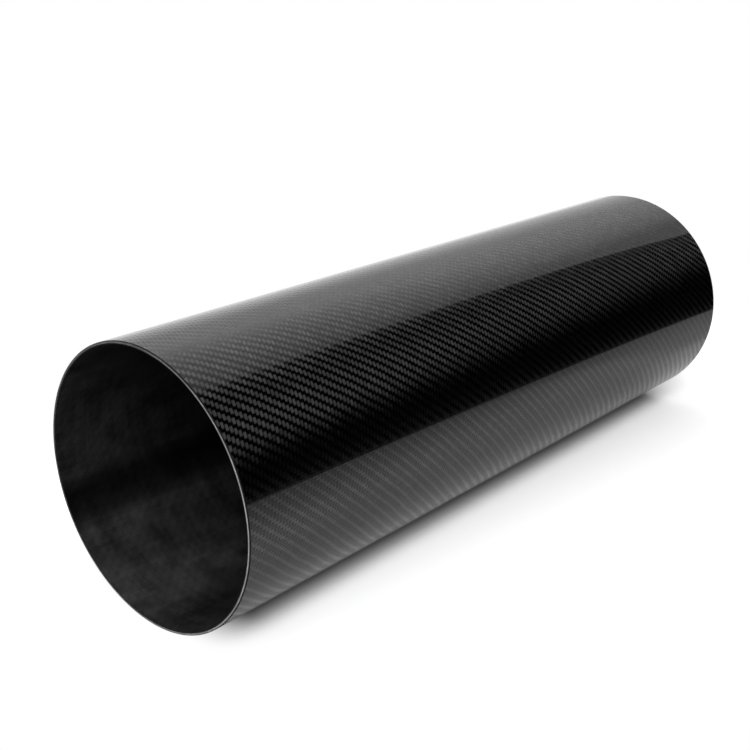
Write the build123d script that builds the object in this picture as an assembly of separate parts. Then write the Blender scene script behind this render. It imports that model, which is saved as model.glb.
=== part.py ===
from build123d import *
import os

# A length of thin-walled round tube, laid up from twill cloth and cut square.
# Millimetres, +Z up. The tube lies along X on the floor at z = 0,
# and the origin is on the floor under its middle.

# Driving dimensions
outer_diameter = 180.0
wall_thickness = 2.0
tube_length = 550.0

# Each saw cut is lightly sanded, more on its outer edge than on its inner one
outer_edge_break = 0.3
inner_edge_break = 0.2

# Radii and height that follow from them
outer_radius = outer_diameter / 2
bore_radius = outer_radius - wall_thickness
axis_height = outer_radius


def wall_profile():
    """Lengthwise cut through one side of the wall, with its four edges broken."""
    middle_radius = (outer_radius + bore_radius) / 2
    wall = Pos(0, middle_radius) * Rectangle(tube_length, wall_thickness)
    wall = chamfer(wall.vertices().group_by(Axis.Y)[-1], outer_edge_break)
    return chamfer(wall.vertices().group_by(Axis.Y)[0], inner_edge_break)


def tube():
    """The wall turned once round the tube's axis, lifted to lie on the floor."""
    return Pos(0, 0, axis_height) * revolve(wall_profile(), Axis.X, 360)


os.makedirs("parts", exist_ok=True)
export_step(tube(), "parts/tube.step")
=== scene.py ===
import math
import bpy
import numpy as np
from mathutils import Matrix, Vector


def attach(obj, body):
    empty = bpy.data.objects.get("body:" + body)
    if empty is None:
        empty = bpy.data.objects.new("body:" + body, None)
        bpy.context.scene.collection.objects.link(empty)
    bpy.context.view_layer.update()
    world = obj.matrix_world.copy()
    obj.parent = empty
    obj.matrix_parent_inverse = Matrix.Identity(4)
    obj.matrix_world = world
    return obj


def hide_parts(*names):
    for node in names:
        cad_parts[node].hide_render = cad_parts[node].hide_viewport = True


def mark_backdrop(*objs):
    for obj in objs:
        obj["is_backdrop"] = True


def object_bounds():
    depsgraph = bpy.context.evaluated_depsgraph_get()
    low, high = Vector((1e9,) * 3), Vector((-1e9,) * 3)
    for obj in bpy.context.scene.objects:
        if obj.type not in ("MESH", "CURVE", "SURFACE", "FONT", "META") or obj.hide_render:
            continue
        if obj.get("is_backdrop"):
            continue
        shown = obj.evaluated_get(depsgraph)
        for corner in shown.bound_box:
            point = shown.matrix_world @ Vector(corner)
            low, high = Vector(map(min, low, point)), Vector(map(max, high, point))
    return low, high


# A length of thin-walled carbon fibre tube, twill cloth under a clear coat,
# lying on a white table. Metres, +Z up, tube along X.

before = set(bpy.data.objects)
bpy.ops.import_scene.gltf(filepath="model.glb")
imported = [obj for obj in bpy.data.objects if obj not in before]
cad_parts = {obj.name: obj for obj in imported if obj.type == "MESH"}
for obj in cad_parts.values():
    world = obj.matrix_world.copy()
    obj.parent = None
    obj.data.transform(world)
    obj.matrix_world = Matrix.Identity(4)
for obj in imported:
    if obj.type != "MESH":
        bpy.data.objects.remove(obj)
cadLow, cadHigh = (list(corner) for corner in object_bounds())
millimetre = 0.001
fullTurn = 2 * math.pi

print("stage 1: sizes")

outerRadius = (cadHigh[1] - cadLow[1]) / 2 / millimetre
wallThickness = 2.0  # mm, as in the CAD source
# the wall, in millimetres
wall = {
    "length": (cadHigh[0] - cadLow[0]) / millimetre,
    "outerRadius": outerRadius, "boreRadius": outerRadius - wallThickness,
    "outerBreak": 0.3, "innerBreak": 0.2,  # how far sanding took each cut edge back
    "hold": 0.15,  # loops this close to an edge keep its shading crisp
    "sandedOver": 0.5,  # how far the sanding runs over onto the outside
    "columns": 720, "lengthSteps": 18, "arcSteps": 4,
}
weave = {
    "around": 300, "along": 264,  # tows round the tube and along it
    "tiles": 3,  # the cloth's slow wander repeats this often each way
    "boreTiles": 6,  # and this often along the bore
    # the share of the export's picture, from bottom to top, that each zone of faces fills
    "outsideRows": (0.29, 0.995), "boreRows": (0.06, 0.27), "cutRows": (0.008, 0.042),
}
outsideZone, cutZone, boreZone = 0, 1, 2  # also the order of the materials on the mesh
radius = wall["outerRadius"] * millimetre


def quarterArc(centreX, centreR, startAngle, size, steps):
    # a quarter of a circle about its centre, clockwise from startAngle
    angle = math.radians(startAngle) - np.linspace(0, math.pi / 2, steps + 1)
    return np.stack([centreX + size * np.cos(angle), centreR + size * np.sin(angle)], 1)


def wallProfile(size):
    # Closed lengthwise cut of the wall as rows of (x, radius): along the outside, round the far
    # cut, back through the bore and round the near cut, with the row count of each part.
    half, outer, bore = size["length"] / 2, size["outerRadius"], size["boreRadius"]
    bigCut, smallCut, hold = size["outerBreak"], size["innerBreak"], size["hold"]
    over, lengthSteps, arcSteps = size["sandedOver"], size["lengthSteps"], size["arcSteps"]
    outerEnd, boreEnd = half - bigCut, half - smallCut

    between = np.linspace(-half, half, lengthSteps + 1)[1:-1]
    x = np.r_[over - outerEnd, between, outerEnd - over]
    outside = np.stack([x, np.full(len(x), outer)], 1)
    cut = np.concatenate([
        [[outerEnd - hold, outer]], quarterArc(outerEnd, outer - bigCut, 90, bigCut, arcSteps),
        [[half, outer - bigCut - hold], [half, bore + smallCut + hold]],
        quarterArc(boreEnd, bore + smallCut, 0, smallCut, arcSteps)[:-1]])
    between = np.linspace(half, -half, 2 * lengthSteps + 1)[1:-1]
    x = np.r_[boreEnd, boreEnd - hold, between, hold - boreEnd, -boreEnd]
    inside = np.stack([x, np.full(len(x), bore)], 1)
    parts = [outside, cut, inside, (cut * (-1.0, 1.0))[::-1]]
    return np.concatenate(parts), [len(part) for part in parts]


def tubeMesh(size, pattern):
    # The wall: each row (x, radius) of the profile turned once round the axis,
    # y = radius * cos(angle), z = radius * sin(angle) + outer radius.
    profile, (outCount, cutCount, inCount, _) = wallProfile(size)
    rows, count, outer = len(profile), size["columns"], size["outerRadius"]
    angle = np.arange(count) * 2 * math.pi / count
    x = np.repeat(profile[:, 0], count)
    y = (profile[:, 1:] * np.cos(angle)).ravel()
    z = (profile[:, 1:] * np.sin(angle)).ravel() + outer
    ring, column = np.meshgrid(np.arange(rows), np.arange(count), indexing="ij")
    nextRing, nextColumn = (ring + 1) % rows, (column + 1) % count
    quads = np.stack([ring * count + column, nextRing * count + column,
                      nextRing * count + nextColumn, ring * count + nextColumn], -1).reshape(-1, 4)

    # the zone of each band of faces
    lastOut, firstIn = outCount - 1, outCount + cutCount
    lastIn = firstIn + inCount - 1
    zone = np.full(rows, cutZone)
    zone[:lastOut], zone[firstIn:lastIn] = outsideZone, boreZone
    faceZone = np.repeat(zone, count)[:, None]

    # the weave's map: tows counted round and along, or the depth into the wall on a cut
    cornerRing = np.stack([ring, ring + 1, ring + 1, ring], -1).reshape(-1, 4)
    cornerTurn = np.stack([column, column, column + 1, column + 1], -1).reshape(-1, 4)
    cornerPoint = profile[cornerRing % rows]
    lengthShare = cornerPoint[..., 0] / size["length"] + 0.5
    towsAlong = np.where(faceZone == cutZone, outer - cornerPoint[..., 1], lengthShare * pattern["along"])
    tows = np.stack([cornerTurn / count * pattern["around"], towsAlong], -1)

    # the export's picture: the outside's tiles lie on each other, and so do the bore's and the cuts
    perTile = count // pattern["tiles"]
    firstTurn = (cornerTurn.min(1) // perTile * perTile)[:, None]

    def inTile(copies):
        place = lengthShare * copies
        return place - np.floor(place.mean(1, keepdims=True))

    def fill(share, limits):
        return limits[0] + share * (limits[1] - limits[0])

    trail = np.cumsum(np.r_[0, np.linalg.norm(np.diff(profile, axis=0, append=profile[:1]), axis=1)])
    along = trail[cornerRing]
    farShare = (along - trail[lastOut]) / (trail[firstIn] - trail[lastOut])
    nearShare = (trail[rows] - along) / (trail[rows] - trail[lastIn])
    cutShare = np.where(cornerRing.max(1, keepdims=True) <= firstIn, farShare, nearShare)
    up = np.select([faceZone == outsideZone, faceZone == boreZone],
                   [fill(inTile(pattern["tiles"]), pattern["outsideRows"]),
                    fill(inTile(pattern["boreTiles"]), pattern["boreRows"])],
                   fill(cutShare, pattern["cutRows"]))
    picture = np.stack([(cornerTurn - firstTurn) / perTile, up], -1)

    mesh = bpy.data.meshes.new("tube_laminate")
    mesh.from_pydata((np.stack([x, y, z], 1) * millimetre).tolist(), [], quads.tolist())
    for name, values in (("weave", tows), ("OFBake", picture)):
        layer = mesh.uv_layers.new(name=name)
        layer.data.foreach_set("uv", values.reshape(-1).astype(np.float32))
    mesh.polygons.foreach_set("material_index", np.repeat(zone, count).astype(np.int32))
    mesh.polygons.foreach_set("use_smooth", np.ones(len(quads), bool))
    mesh.uv_layers.active = mesh.uv_layers["weave"]
    mesh.update()
    return mesh


class Wire:
    # wraps one output socket; an expression on wires and numbers adds Math nodes
    def __init__(self, tree, socket=None):
        self.tree, self.socket = tree, socket

    def add(self, kind, settings=None, inputs=None, output=0):
        # any other node: its type, its settings, then the values or wires of its sockets
        node = self.tree.nodes.new("ShaderNode" + kind)
        for name, value in (settings or {}).items():
            if name == "stops":
                ramp = node.color_ramp
                for _ in range(len(value) - 2):
                    ramp.elements.new(0.5)
                for stop, (place, level) in zip(ramp.elements, value):
                    stop.position = place
                    stop.color = (level, level, level, 1)
            else:
                setattr(node, name, value)
        for key, value in (inputs or {}).items():
            if isinstance(value, Wire):
                self.tree.links.new(value.socket, node.inputs[key])
            else:
                node.inputs[key].default_value = value
        return Wire(self.tree, node.outputs[output] if len(node.outputs) else None)

    def pick(self, output):
        return Wire(self.tree, self.socket.node.outputs[output])

    def calc(self, operation, *others):
        return self.add("Math", {"operation": operation}, dict(enumerate((self,) + others)))

    def __add__(self, other):
        return self.calc("ADD", other)

    def __radd__(self, other):
        return self.calc("ADD", other)

    def __sub__(self, other):
        return self.calc("SUBTRACT", other)

    def __rsub__(self, other):
        return self.add("Math", {"operation": "SUBTRACT"}, {0: other, 1: self})

    def __mul__(self, other):
        return self.calc("MULTIPLY", other)

    def __rmul__(self, other):
        return self.calc("MULTIPLY", other)

    def __truediv__(self, other):
        return self.calc("DIVIDE", other)

    def __mod__(self, other):
        return self.calc("FLOORED_MODULO", other)

    def __lt__(self, other):
        return self.calc("LESS_THAN", other)

    def __gt__(self, other):
        return self.calc("GREATER_THAN", other)

    def __abs__(self):
        return self.calc("ABSOLUTE")

    def floor(self):
        return self.calc("FLOOR")

    def wave(self):
        return self.calc("SINE")

    def scaled(self, base, gain):
        # base plus gain times this
        return self * gain + base

    def between(self, low, high, start=0.0, end=1.0):
        # smooth step from start to end as this goes from low to high
        return self.add("MapRange", {"interpolation_type": "SMOOTHSTEP"},
                        {0: self, 1: low, 2: high, 3: start, 4: end})

    def blend(self, other, share):
        # plain numbers: this at share 0, other at share 1
        return self + (other - self) * share

    def curve(self, points):
        # a value read off a broken line through (place, level) points
        low, high = points[0][0], points[-1][0]
        top = max(level for _, level in points)
        stops = [((place - low) / (high - low), level / top) for place, level in points]
        share = self.add("MapRange", {"clamp": True}, {0: self, 1: low, 2: high, 3: 0.0, 4: 1.0})
        return share.add("ValToRGB", {"stops": stops}, {0: share}) * top

    def grey(self, blue=1.0):
        return self.add("CombineColor", inputs={0: self, 1: self, 2: self * blue})

    def vector(self, x, y, z=0.0):
        return self.add("CombineXYZ", inputs={0: x, 1: y, 2: z})

    def parts(self):
        split = self.add("SeparateXYZ", inputs={0: self})
        return split, split.pick("Y"), split.pick("Z")


def newMaterial(name):
    material = bpy.data.materials.new(name)
    material.use_nodes = True
    material.node_tree.nodes.clear()
    return material, Wire(material.node_tree)


def ringNoise(wire, turn, run, roundness, reach, detail=2.0, roughness=0.5):
    # noise over (turn, run), both 0 to 1 per tile, wound onto two circles so that it closes up;
    # roundness and reach are how much noise one tile holds round the tube and along it
    a, b = turn * fullTurn, run * fullTurn
    spot = wire.vector(a.calc("COSINE") * roundness, a.wave() * roundness, b.calc("COSINE") * reach)
    return wire.add("TexNoise", {"noise_dimensions": "4D"}, {
        "Vector": spot, "W": b.wave() * reach, "Scale": 1.0, "Detail": detail, "Roughness": roughness})


def outFromAxis(wire):
    # the place along the tube, and how far sideways and up a point lies from the axis, in radii
    x, y, z = wire.add("TexCoord", output="Object").parts()
    return x, y / radius, z / radius - 1.0


def unitVector(wire, x, y, z):
    return wire.add("VectorMath", {"operation": "NORMALIZE"}, {0: wire.vector(x, y, z)})


# how the cloth lies, in tows
cloth = {
    "repeat": 4.0,  # 2 over 2: the pattern comes back after four tows
    "slow": 0.8, "quick": 0.4, "bow": 0.8, "bowPhase": 0.94,  # how far the tows stray
    "slowNoise": (0.9, 0.9, 1.0), "quickNoise": (2.6, 2.6, 1.0),  # round, along, detail
    "lean": 0.18, "half": 0.50,  # slant and half width of a round-going float
    "tip": 1.06, "tipSlope": 0.7,  # where its ends close, and how bluntly
    "soft": 0.14,  # how softly one float meets the next
    "setApart": 7.0, "towApart": 3.0,  # keep the random draws of the two sets and of whole tows apart
}


def twill(wire, pattern, look, tilesAlong):
    # 2 over 2 twill. Tow i runs round the tube and is on top for two tows about s = i - 2;
    # its visible float is a slanted block that swells over the ends of the lengthwise floats.
    # Elsewhere lengthwise tow j shows, whose floats are centred on t = j + 1.
    repeat, halfTow = look["repeat"], look["half"]
    s, t, _ = wire.add("UVMap", {"uv_map": "weave"}).parts()
    tileS, tileT = pattern["around"] / pattern["tiles"], pattern["along"] / tilesAlong
    turn, run = s / tileS, t / tileT
    slowS, slowT, _ = ringNoise(wire, turn, run, *look["slowNoise"]).pick("Color").parts()
    quickS, quickT, _ = ringNoise(wire, turn, run, *look["quickNoise"]).pick("Color").parts()
    bow = (turn * fullTurn + look["bowPhase"]).wave() * look["bow"]
    s1 = s + (slowS - 0.5) * look["slow"] + (quickS - 0.5) * look["quick"]
    t1 = t + (slowT - 0.5) * look["slow"] + (quickT - 0.5) * look["quick"] + bow

    i0, j = t1.floor(), s1.floor()
    off = t1 - i0 - 0.5
    side = off.calc("SIGN")

    def roundFloat(tow, away):
        # place along the float -1 to 1, place across it, and how surely the point lies on it
        a = (s1 - tow) % repeat - repeat / 2
        d = away + a * look["lean"]
        cover = (halfTow - abs(d)).calc("MINIMUM", (look["tip"] - abs(a)) * look["tipSlope"])
        return a, d, cover

    a0, d0, cover0 = roundFloat(i0, off)
    a1, d1, cover1 = roundFloat(i0 + side, off - side)
    swap = cover1 > cover0
    alongRound, acrossRound = a0.blend(a1, swap), d0.blend(d1, swap) / halfTow
    roundTop = cover0.calc("MAXIMUM", cover1).between(-look["soft"] / 2, look["soft"] / 2)
    towRound = i0 + side * swap
    alongLength = (t1 - j + 1.0) % repeat - repeat / 2
    acrossLength = (s1 - j - 0.5) * 2.0

    onRound = roundTop > 0.5
    towNumber = (j % tileS).blend(towRound % tileT, onRound)
    floatNumber = ((t1 - alongLength).calc("ROUND") % tileT).blend(
        (s1 - alongRound).calc("ROUND") % tileS, onRound)
    chance = wire.add("TexWhiteNoise", {"noise_dimensions": "3D"}, {
        "Vector": wire.vector(towNumber, floatNumber, onRound * look["setApart"])})
    towChance = wire.add("TexWhiteNoise", {"noise_dimensions": "2D"}, {
        "Vector": wire.vector(towNumber, onRound * look["setApart"] + look["towApart"])})
    return dict(turn=turn, run=run, roundTop=roundTop, onRound=onRound,
                alongRound=alongRound, acrossRound=acrossRound,
                alongLength=alongLength, acrossLength=acrossLength,
                chance=chance, towChance=towChance)


laminate = {
    "roundTone": 0.054, "lengthTone": 0.092,  # how much light each set of tows returns
    "roundSpread": 0.42, "lengthSpread": 0.14,  # roughness; the round-going tows also fan light along X
    "roundEdge": 0.5, "lengthEdge": 0.7,  # how much of the sheen is left at a low angle
    "crown": 0.12, "flat": 0.03,  # how much a round-going and a lengthwise tow is rounded across
    "crownCurve": (0.2, 0.8),  # how straight that rounding is, and how much steeper it gets at the sides
    "arch": 0.04, "hump": 0.02, "jitter": 0.06, "towShare": 0.4,  # slopes along a float; how they vary
    "filaments": 9.0, "filamentRun": 0.35, "filamentApart": 40.0,  # lines across, along, and per float
    "filamentDetail": 3.0, "filamentRoughness": 0.7, "roundLines": 0.10, "lengthLines": 0.04,
    # tone across and along a round-going float, then across a lengthwise one: from, to, level at both; the
    # tone across is a painted highlight down each float's crown
    "paintedCrownHighlight": (0.50, 1.0, 1.0, 0.85), "ends": (0.55, 1.0, 1.0, 0.45), "seam": (0.75, 1.0, 1.0, 0.80),
    # how much floats, tows, filaments and slow patches differ in tone: base and gain
    "floatTone": (0.78, 0.32), "towTone": 0.12, "lineTone": (0.75, 0.5), "patchTone": (0.85, 0.3),
    "patchNoise": (1.6, 1.6, 2.0), "blue": 1.02,
    "coatRoughness": 0.007, "coatIor": 1.5,
}


def laminateMaterial(look):
    material, wire = newMaterial("glossTwill")
    tows = twill(wire, weave, cloth, weave["tiles"])
    top, chance, towChance = tows["onRound"], tows["chance"], tows["towChance"]
    a, d = tows["alongRound"], tows["acrossRound"]
    b, e = tows["alongLength"], tows["acrossLength"]
    # filaments: fine lines along each tow, new ones for each float
    along, across = b.blend(a, top), e.blend(d, top)
    seed = chance * look["filamentApart"]
    line = wire.add("TexNoise", {"noise_dimensions": "2D"}, {
        "Vector": wire.vector(across * look["filaments"] + seed, along * look["filamentRun"] + seed),
        "Scale": 1.0, "Detail": look["filamentDetail"], "Roughness": look["filamentRoughness"]})
    # a round-going float is crowned across; a lengthwise one lies almost flat
    straight, steep = look["crownCurve"]
    crown = across * (across * across * steep + straight)
    lean = line - 0.5
    crownRound = crown * -look["crown"] + lean * look["roundLines"]
    crownLength = crown * -look["flat"] + lean * look["lengthLines"]
    # both are arched along, with a hump over each tow that they cross
    rock = (towChance * look["towShare"] + chance * (1.0 - look["towShare"]) - 0.5) * look["jitter"]
    arch = along * abs(along) * -look["arch"] + (along * fullTurn).wave() * look["hump"] + rock
    slopeX = arch.blend(crownRound, top)
    slopeRound = crownLength.blend(arch, top)
    # the smooth wall's own normal, leaned back by the two slopes
    _, outY, outZ = outFromAxis(wire)
    normal = unitVector(wire, slopeX * -1.0, outY + slopeRound * outZ, outZ - slopeRound * outY)
    # a round float is painted brightest down its middle, a painted highlight along its crown; resin lies a
    # little darker round every float
    paintedCrownHighlight = abs(d).between(*look["paintedCrownHighlight"])
    ends = abs(a).between(*look["ends"])
    seam = abs(e).between(*look["seam"])
    patch = ringNoise(wire, tows["turn"], tows["run"], *look["patchNoise"])
    shared = ((chance.scaled(*look["floatTone"]) + towChance * look["towTone"])
              * line.scaled(*look["lineTone"]) * patch.scaled(*look["patchTone"]))
    sets = ((paintedCrownHighlight * ends * look["roundTone"], look["roundSpread"], look["roundEdge"], 1.0),
            (seam * look["lengthTone"], look["lengthSpread"], look["lengthEdge"], 0.0))
    shaders = []
    for tone, spread, edge, fan in sets:
        shaders.append(wire.add("BsdfPrincipled", {}, {
            "Base Color": (tone * shared).grey(look["blue"]), "Metallic": 1.0, "Roughness": spread,
            "Specular Tint": (edge, edge, edge, 1.0), "Anisotropic": fan, "Normal": normal,
            "Coat Weight": 1.0, "Coat Roughness": look["coatRoughness"], "Coat IOR": look["coatIor"]}))
    mixed = wire.add("MixShader", inputs={0: tows["roundTop"], 1: shaders[1], 2: shaders[0]})
    wire.add("OutputMaterial", inputs={"Surface": mixed})
    return material


# depths from the outside in mm
cutLook = {
    "tone": 0.30, "metal": 0.95, "spread": 0.30,  # the bare face
    "skinTone": 0.02, "skinSpread": 0.65,  # the resin at the outside and at the bore
    "skin": 0.45, "lip": 0.65, "blur": 0.12,  # how deep that resin is at each, and its soft edge
    "ply": 0.22, "tiltOut": 8.0,  # how far the face leans outwards at the skin, in degrees
    "tiltDepths": (0.2, 1.2),  # from where to where it comes upright
    "grainDepth": 8.0, "grainNoise": (30.0, 12.0, 2.0), "patchDepth": 40.0, "patchNoise": (3.0, 1.0, 2.0),
    "plain": 0.50, "grainTone": 0.3, "patchTone": 0.4, "plyTone": 0.12,
    "glintTone": 1.5, "glintGrain": (0.52, 0.64), "glintPatch": (0.42, 0.60),  # pale ends of fibres, brightened into painted glints
    "grainTilt": 0.25, "grainSpread": 0.2,
}


def cutMaterial(look):
    # The sanded end: a grey face with a dark line of resin at the skin and at the bore. Sanding
    # rounded it over by hand, so the normal leans outwards near the skin.
    material, wire = newMaterial("sandedCut")
    s, depth, _ = wire.add("UVMap", {"uv_map": "weave"}).parts()
    turn = s / (weave["around"] / weave["tiles"])
    grain = ringNoise(wire, turn, depth / look["grainDepth"], *look["grainNoise"])
    patch = ringNoise(wire, turn, depth / look["patchDepth"], *look["patchNoise"])
    plies = (depth * (fullTurn / look["ply"])).wave() * 0.5 + 0.5
    skin, lip, blur = look["skin"], wallThickness - look["lip"], look["blur"]
    face = depth.between(skin - blur, skin + blur) * depth.between(lip - blur, lip + blur, 1.0, 0.0)
    # painted glints: sparse specks where the face is made much brighter
    glint = grain.between(*look["glintGrain"]) * patch.between(*look["glintPatch"])
    body = look["tone"] * (grain.scaled(look["plain"], look["grainTone"]) + patch * look["patchTone"]
                           + plies * look["plyTone"] + glint * look["glintTone"])
    tone = face * (body - look["skinTone"]) + look["skinTone"]
    x, outY, outZ = outFromAxis(wire)
    tilt = depth.between(*look["tiltDepths"], math.radians(look["tiltOut"]), 0.0)
    tilt = tilt + (grain - 0.5) * look["grainTilt"]
    out = tilt.wave()
    normal = unitVector(wire, x.calc("SIGN") * tilt.calc("COSINE"), outY * out, outZ * out)
    roughness = face * (look["spread"] - look["skinSpread"]) + look["skinSpread"]
    shader = wire.add("BsdfPrincipled", {}, {
        "Base Color": tone.grey(), "Metallic": face * look["metal"], "Specular IOR Level": 0.0,
        "Roughness": roughness + (grain - 0.5) * look["grainSpread"], "Normal": normal})
    wire.add("OutputMaterial", inputs={"Surface": shader})
    return material


boreLook = {
    "tone": 0.019, "gloss": 0.42, "spread": 0.42, "specular": 0.1, "edgeTint": 0.5,
    # clouds in the resin: noise round, along, its detail and roughness, then how much each counts
    "smudge": (1.8, 0.9, 3.0, 0.55), "streak": (1.0, 3.2, 3.0, 0.6), "smear": (9.0, 0.5, 2.0, 0.6),
    "smudgeShare": 0.9, "streakShare": 0.6, "smearShare": 0.4, "cloudMiddle": 0.45,
    "cloudTone": (0.15, 0.85, 0.45, 1.55), "towTone": (0.92, 0.16),
    "paintedShadeBandTurn": 0.79, "paintedShadeBandTone": (0.80, 0.97, 1.0, 0.35),  # painted shade band: where in a tile, and its soft edge and tone
    "bump": 0.08, "smudgeSpread": 0.25,
}


def boreMaterial(look):
    # the bare inside face, off the mandrel: matt resin over the innermost round-going fibres,
    # smeared along the tube where the mandrel was drawn out
    material, wire = newMaterial("mattBore")
    tows = twill(wire, weave, cloth, weave["boreTiles"])
    turn, run = tows["turn"], tows["run"]
    smudge = ringNoise(wire, turn, run, *look["smudge"])
    streak = ringNoise(wire, turn, run, *look["streak"])
    smear = ringNoise(wire, turn, run, *look["smear"])
    cloud = (smudge * look["smudgeShare"] + streak * look["streakShare"]
             + smear * look["smearShare"] - look["cloudMiddle"])
    # painted shade: a darker band along the bore at one angle in each tile
    paintedShadeBand = ((turn + 0.25 - look["paintedShadeBandTurn"]) * fullTurn).wave().between(*look["paintedShadeBandTone"])
    fibres = tows["roundTop"].scaled(*look["towTone"])
    tone = look["tone"] * fibres * cloud.between(*look["cloudTone"]) * paintedShadeBand
    bump = wire.add("Bump", inputs={"Strength": look["bump"], "Distance": millimetre, "Height": cloud})
    shader = wire.add("BsdfPrincipled", {}, {
        "Base Color": tone.grey(), "Metallic": look["gloss"], "Specular IOR Level": look["specular"],
        "Roughness": look["spread"] + (smudge - 0.5) * look["smudgeSpread"],
        "Specular Tint": (look["edgeTint"],) * 3 + (1.0,), "Anisotropic": 1.0, "Normal": bump})
    wire.add("OutputMaterial", inputs={"Surface": shader})
    return material


print("stage 2: the tube's wall")
mesh = tubeMesh(wall, weave)
for material in (laminateMaterial(laminate), cutMaterial(cutLook), boreMaterial(boreLook)):
    mesh.materials.append(material)
# the default tangent is read off the texture space: set far off to one side, it runs along X
mesh.use_auto_texspace = False
mesh.texspace_location = (0.0, 1000.0, 0.0)
mesh.texspace_size = (1.0, 1.0, 1.0)
tube = bpy.data.objects.new("tube_laminate", mesh)
bpy.context.scene.collection.objects.link(tube)
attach(tube, "root")
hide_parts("tube")


print("stage 3: table, light and camera")
nearEnd = np.array([-wall["length"] / 2 * millimetre, 0, radius])


def surfaceGrid(name, points, material):
    # a sheet through rows of points, shape (rows, columns, 3)
    rows, columns = points.shape[:2]
    index = np.arange(rows * columns).reshape(rows, columns)
    quads = np.stack([index[:-1, :-1], index[1:, :-1], index[1:, 1:], index[:-1, 1:]], -1)
    mesh = bpy.data.meshes.new(name)
    mesh.from_pydata(points.reshape(-1, 3).tolist(), [], quads.reshape(-1, 4).tolist())
    mesh.update()
    mesh.materials.append(material)
    sheet = bpy.data.objects.new(name, mesh)
    bpy.context.scene.collection.objects.link(sheet)
    return sheet


# Metres. A soft edge is from, to, and the level at both where that isn't 0 and 1.
tableLook = {
    "reach": 24.0, "lines": 9,
    "tone": 1.34, "toneBehind": 1.2,  # its own white, in front of the tube and behind it
    # painted light and shade: how bright it is in a mirror, by y
    "mirrored": ((-0.45, 0.31), (-0.28, 0.40), (-0.18, 0.46), (-0.10, 0.50), (0.0, 0.60), (0.05, 1.15),
                 (0.16, 1.15), (0.30, 0.70), (0.42, 0.45), (0.60, 0.80)),
    # painted shadow in a mirror: the dark corner left of the tube, where its shadow falls
    "corner": 0.10, "cornerSlope": 1.3, "cornerEdge": (-0.015, 0.01),
    "cornerFrom": (-0.02, 0.02), "cornerTo": (0.19, 0.24, 1.0, 0.0),
    # painted light and shade in a mirror: past the far end it is brighter close to the tube and darker
    # farther off
    "close": (-0.13, -0.10), "closeGain": 0.14, "closeFrom": (0.23, 0.30),
    "farLoss": 0.22, "farFrom": (0.30, 0.38),
    # painted shade in a mirror: the near cut's upper half mirrors a dark patch
    "rimShadeLoss": 0.68, "rimShadeSlope": 0.5, "rimShadeEdge": (0.12, 0.18), "rimShadeFrom": (0.04, 0.10),
    # where the side behind the tube begins, across and to the left
    "frontFrom": (-0.05, 0.05, 1.0, 0.0), "frontLeft": (-0.02, 0.03, 1.0, 0.0),
    # painted shadow: for the camera the table is darkened most where the wall comes down to it, except past
    # the far end
    "paintedShadow": (0.028, 0.058, 0.24, 1.0), "paintedShadowTo": (0.26, 0.31),
    # the shadow fades out this far from the axis; left of the near end the camera sees painted light in
    # place of the tube's shadow
    "plain": (0.18, 0.32), "paintedLightLeft": (-0.05, 0.0),
}


def tableMaterial(look):
    # white to the camera with the tube's shadow; dimmer where a mirror ray meets it
    material, wire = newMaterial("whiteTable")
    path = wire.add("LightPath", output="Is Camera Ray")
    seen = path.calc("MAXIMUM", path.pick("Is Transmission Ray"))
    x, y, _ = wire.add("TexCoord", output="Object").parts()
    past = (abs(x) + nearEnd[0]).calc("MAXIMUM", 0.0)
    apart = (past * past + y * y).calc("SQRT")  # how far from the tube's axis
    left = x * -1.0 + nearEnd[0]  # how far left of the tube's near end
    # painted shadow: the tube's shadow left of its near end, seen in mirrors
    corner = ((y - left * look["cornerSlope"]).between(*look["cornerEdge"])
              * left.between(*look["cornerFrom"]) * left.between(*look["cornerTo"]))
    # painted light and shade past the far end, seen in mirrors
    close = y.between(*look["close"])
    beyond = (close * x.between(*look["closeFrom"]) * look["closeGain"]
              - (1.0 - close) * x.between(*look["farFrom"]) * look["farLoss"])
    # painted shade on the table that the near cut mirrors
    paintedRimShade = (y - left * look["rimShadeSlope"]).between(*look["rimShadeEdge"]) * left.between(*look["rimShadeFrom"])
    # painted light and shade on the table, for mirror and bounce rays
    clear = y.curve(look["mirrored"]) * (beyond + 1.0) * (1.0 - paintedRimShade * look["rimShadeLoss"])
    mirrored = clear.blend(look["corner"], corner)
    front = y.between(*look["frontFrom"]) * left.between(*look["frontLeft"])
    # painted shadow beside the wall, on top of the rendered one, for the camera
    paintedShadow = (y * -1.0).between(*look["paintedShadow"]).blend(1.0, x.between(*look["paintedShadowTo"]))
    tone = front * (paintedShadow * look["tone"] - look["toneBehind"]) + look["toneBehind"]
    matt = wire.add("BsdfDiffuse", inputs={"Color": mirrored.blend(tone, seen).grey()})
    glow = wire.add("Emission", inputs={"Color": (1, 1, 1, 1), "Strength": mirrored.blend(1.0, seen)})
    # left of the near end: painted light over the tube's shadow, for the camera only
    plain = apart.between(*look["plain"]).calc("MAXIMUM", left.between(*look["paintedLightLeft"]) * seen)
    both = wire.add("MixShader", inputs={0: plain, 1: matt, 2: glow})
    wire.add("OutputMaterial", inputs={"Surface": both})
    return material


gridLine = np.linspace(-tableLook["reach"], tableLook["reach"], tableLook["lines"])
gridX, gridY = np.meshgrid(gridLine, gridLine, indexing="ij")
tablePoints = np.stack([gridX, gridY, np.zeros_like(gridX)], -1)[:, ::-1]
table = surfaceGrid("table", tablePoints, tableMaterial(tableLook))

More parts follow.
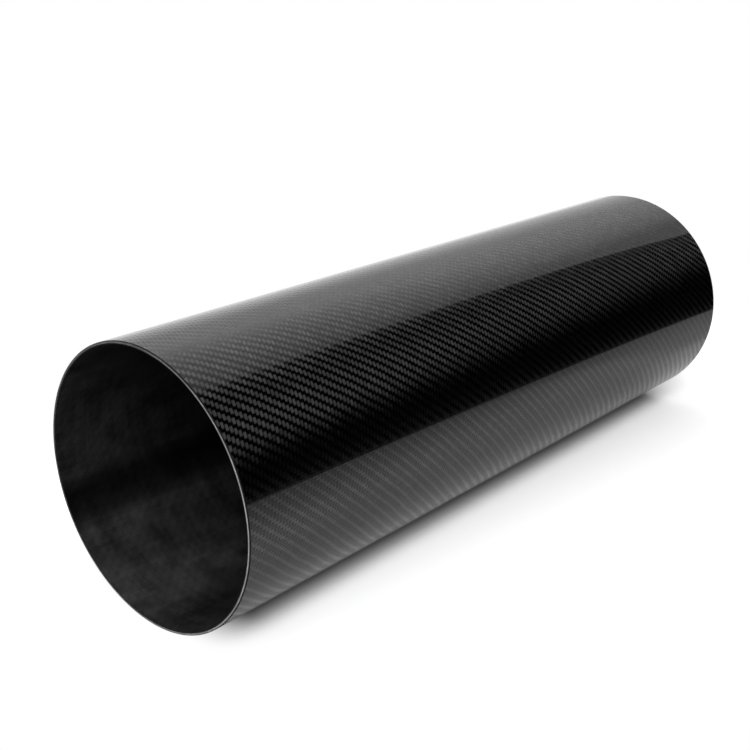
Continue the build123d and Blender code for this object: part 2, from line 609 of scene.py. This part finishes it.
# black cards that only mirror rays meet: the dark room above and beyond, and past the table's
# front edge. Tube radii from the near end's centre; an edge is (x, y) points at one height.
darkRoom = {
    "ceilingHeight": 16.0, "ceilingAway": (38, -76, 0), "ceilingFrom": 4.0, "ceilingTo": 80.0,
    "ceilingY": -2.15, "bendFrom": 15.0, "bendTo": 35.5, "bendSteps": 9, "bend": 0.0108, "fall": 0.25,
    "frontHeight": 15.9, "frontAway": (0, -50, 0), "frontEdge": ((-80.0, -30.0), (25.0, -30.0)),
    "floorHeight": -0.98, "floorAway": (45, -45, 0),
    "floorEdge": ((-10.0, -38.0), (6.0, -7.6), (7.6, -5.0), (9.5, -2.75), (11.5, -1.2), (60.0, 4.0)),
    "wallHeight": -1.2, "wallAway": (0, 0, 18.0), "wallRadius": 78, "wallTurn": (-178, -9), "wallSteps": 40,
}


def ceilingEdge(size):
    # straight along the tube, then bending away as a parabola, then straight again
    start, stop = size["bendFrom"], size["bendTo"]
    x = np.r_[size["ceilingFrom"], np.linspace(start, stop, size["bendSteps"]), size["ceilingTo"]]
    bend = np.clip(x - start, 0.0, stop - start)
    past = np.clip(x - stop, 0.0, None)
    return np.stack([x, size["ceilingY"] - size["bend"] * bend ** 2 - size["fall"] * past], 1)


def wallEdge(size):
    # part of a circle round the near end
    turn = np.radians(np.linspace(*size["wallTurn"], size["wallSteps"]))
    return np.stack([np.cos(turn), np.sin(turn)], 1) * size["wallRadius"]


blackMaterial, wire = newMaterial("blackCard")
wire.add("OutputMaterial", inputs={"Surface": wire.add("BsdfDiffuse", inputs={"Color": (0, 0, 0, 1)})})


def blackCard(name, edge, height, away):
    # a sheet from an edge line at one height, straight on along a direction
    near = np.column_stack([edge, np.full(len(edge), height)])
    points = np.stack([near, near + np.array(away)], 0) * radius + nearEnd
    card = surfaceGrid(name, points, blackMaterial)
    for ray in ("camera", "diffuse", "transmission", "volume_scatter", "shadow"):
        setattr(card, "visible_" + ray, False)
    return card


cards = [
    blackCard("darkCeiling", ceilingEdge(darkRoom), darkRoom["ceilingHeight"], darkRoom["ceilingAway"]),
    blackCard("darkFront", darkRoom["frontEdge"], darkRoom["frontHeight"], darkRoom["frontAway"]),
    blackCard("darkFloor", darkRoom["floorEdge"], darkRoom["floorHeight"], darkRoom["floorAway"]),
    blackCard("darkWall", wallEdge(darkRoom), darkRoom["wallHeight"], darkRoom["wallAway"]),
]
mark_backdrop(table, *cards)


skyLook = {
    "fill": 0.56,
    # how bright the room is in a mirror, by compass angle from +X and by height, in degrees
    "turn": ((-60, 0.80), (-25, 0.80), (-12, 0.42), (-3, 0.30), (5, 0.44), (13, 0.50), (30, 0.60),
             (50, 0.80), (65, 0.62), (75, 1.20), (100, 1.20), (120, 0.60), (158, 0.60), (168, 0.03),
             (300, 0.03)),
    "rise": ((-10, 1.20), (8, 1.04), (20, 0.85), (34, 1.13), (50, 0.70)),
    "riseTo": 68.0,  # the height counts up to this compass angle
    # soft boxes overhead and to the left, each with its soft edges as parts of a direction
    "topBox": 4.8, "topHeight": (0.88, 0.91), "topLeft": (-0.03, 0.03, 1.0, 0.0),
    "sideBox": 4.8, "sideNear": (-0.29, -0.10, 1.0, 0.0), "sideFar": (-0.88, -0.78),
    "sideBack": (0.48, 0.66, 1.0, 0.0), "sideHeight": (0.0, 0.03),
    "climb": 0.577, "climbEdge": (-0.44, 0.24),  # its lower edge climbs towards the front
    # a dark slit and a brighter strip across it
    "acrossY": 0.766, "acrossZ": 0.643,
    "slitFrom": (0.16, 0.22), "slitTo": (0.28, 0.42, 1.0, 0.0), "slitLoss": 0.92,
    "stripFrom": (0.52, 0.64), "stripTo": (0.72, 0.82, 1.0, 0.0), "stripGain": 0.9,
}


def studioWorld(look):
    # white to the camera; mirror rays read the room; other rays get an even fill
    world = bpy.data.worlds.new("studio")
    world.use_nodes = True
    world.node_tree.nodes.clear()
    sky = Wire(world.node_tree)
    path = sky.add("LightPath", output="Is Camera Ray")
    clear = path.calc("MAXIMUM", path.pick("Is Transmission Ray"))
    x, y, z = sky.add("TexCoord", output="Generated").parts()
    compassStart = -look["turn"][0][0]
    compass = (y.calc("ARCTAN2", x) * (180 / math.pi) + compassStart) % 360.0 - compassStart
    rise = (z.calc("ARCSINE") * (180 / math.pi)).curve(look["rise"])
    dim = compass.curve(look["turn"]) * ((compass < look["riseTo"]) * (rise - 1.0) + 1.0)
    top = z.between(*look["topHeight"]) * x.between(*look["topLeft"])
    side = (x.between(*look["sideNear"]) * x.between(*look["sideFar"]) * y.between(*look["sideBack"])
            * z.between(*look["sideHeight"]) * (z + y * look["climb"]).between(*look["climbEdge"]))
    across = y * look["acrossY"] + z * look["acrossZ"]
    slit = across.between(*look["slitFrom"]) * across.between(*look["slitTo"]) * look["slitLoss"]
    strip = across.between(*look["stripFrom"]) * across.between(*look["stripTo"]) * look["stripGain"]
    mirrored = dim.blend(look["sideBox"], side * (strip - slit + 1.0)).blend(look["topBox"], top)
    mirror = path.pick("Is Glossy Ray")
    plain = mirrored * mirror + (1.0 - mirror) * look["fill"]
    glow = sky.add("Background", inputs={"Color": (1, 1, 1, 1), "Strength": plain.blend(1.0, clear)})
    sky.add("OutputWorld", inputs={"Surface": glow})
    return world


room = {
    # each lamp's name, place, power and width, and the point that they all face
    "lamps": (("keyLamp", (-1.0, -1.0, 1.25), 22.0, 0.9), ("backLamp", (-0.35, 0.9, 1.5), 12.0, 1.4)),
    "lampAim": (0, 0, 0.05),
    "camera": (-0.6363, -0.4946, 0.3814), "aim": (0.7065, 0.6180, -0.3449), "lens": 54.62,
    "sensor": 36.0, "clip": (0.01, 100.0),
}


def softLamp(name, place, power, size):
    lamp = bpy.data.lights.new(name, "AREA")
    lamp.shape, lamp.size, lamp.energy = "DISK", size, power
    holder = bpy.data.objects.new(name, lamp)
    holder.location = place
    holder.rotation_mode = "QUATERNION"
    holder.rotation_quaternion = (Vector(room["lampAim"]) - Vector(place)).to_track_quat("-Z", "Y")
    holder.visible_glossy = False
    bpy.context.scene.collection.objects.link(holder)
    return holder


bpy.context.scene.world = studioWorld(skyLook)
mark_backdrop(*[softLamp(*lamp) for lamp in room["lamps"]])

camera = bpy.data.objects.new("camera", bpy.data.cameras.new("camera"))
camera.data.lens, camera.data.sensor_width = room["lens"], room["sensor"]
camera.data.clip_start, camera.data.clip_end = room["clip"]
camera.location = room["camera"]
camera.rotation_mode = "QUATERNION"
camera.rotation_quaternion = Vector(room["aim"]).to_track_quat("-Z", "Y")
bpy.context.scene.collection.objects.link(camera)
bpy.context.scene.camera = camera
bpy.context.scene.view_settings.view_transform = "Standard"

print("stage 4: done")
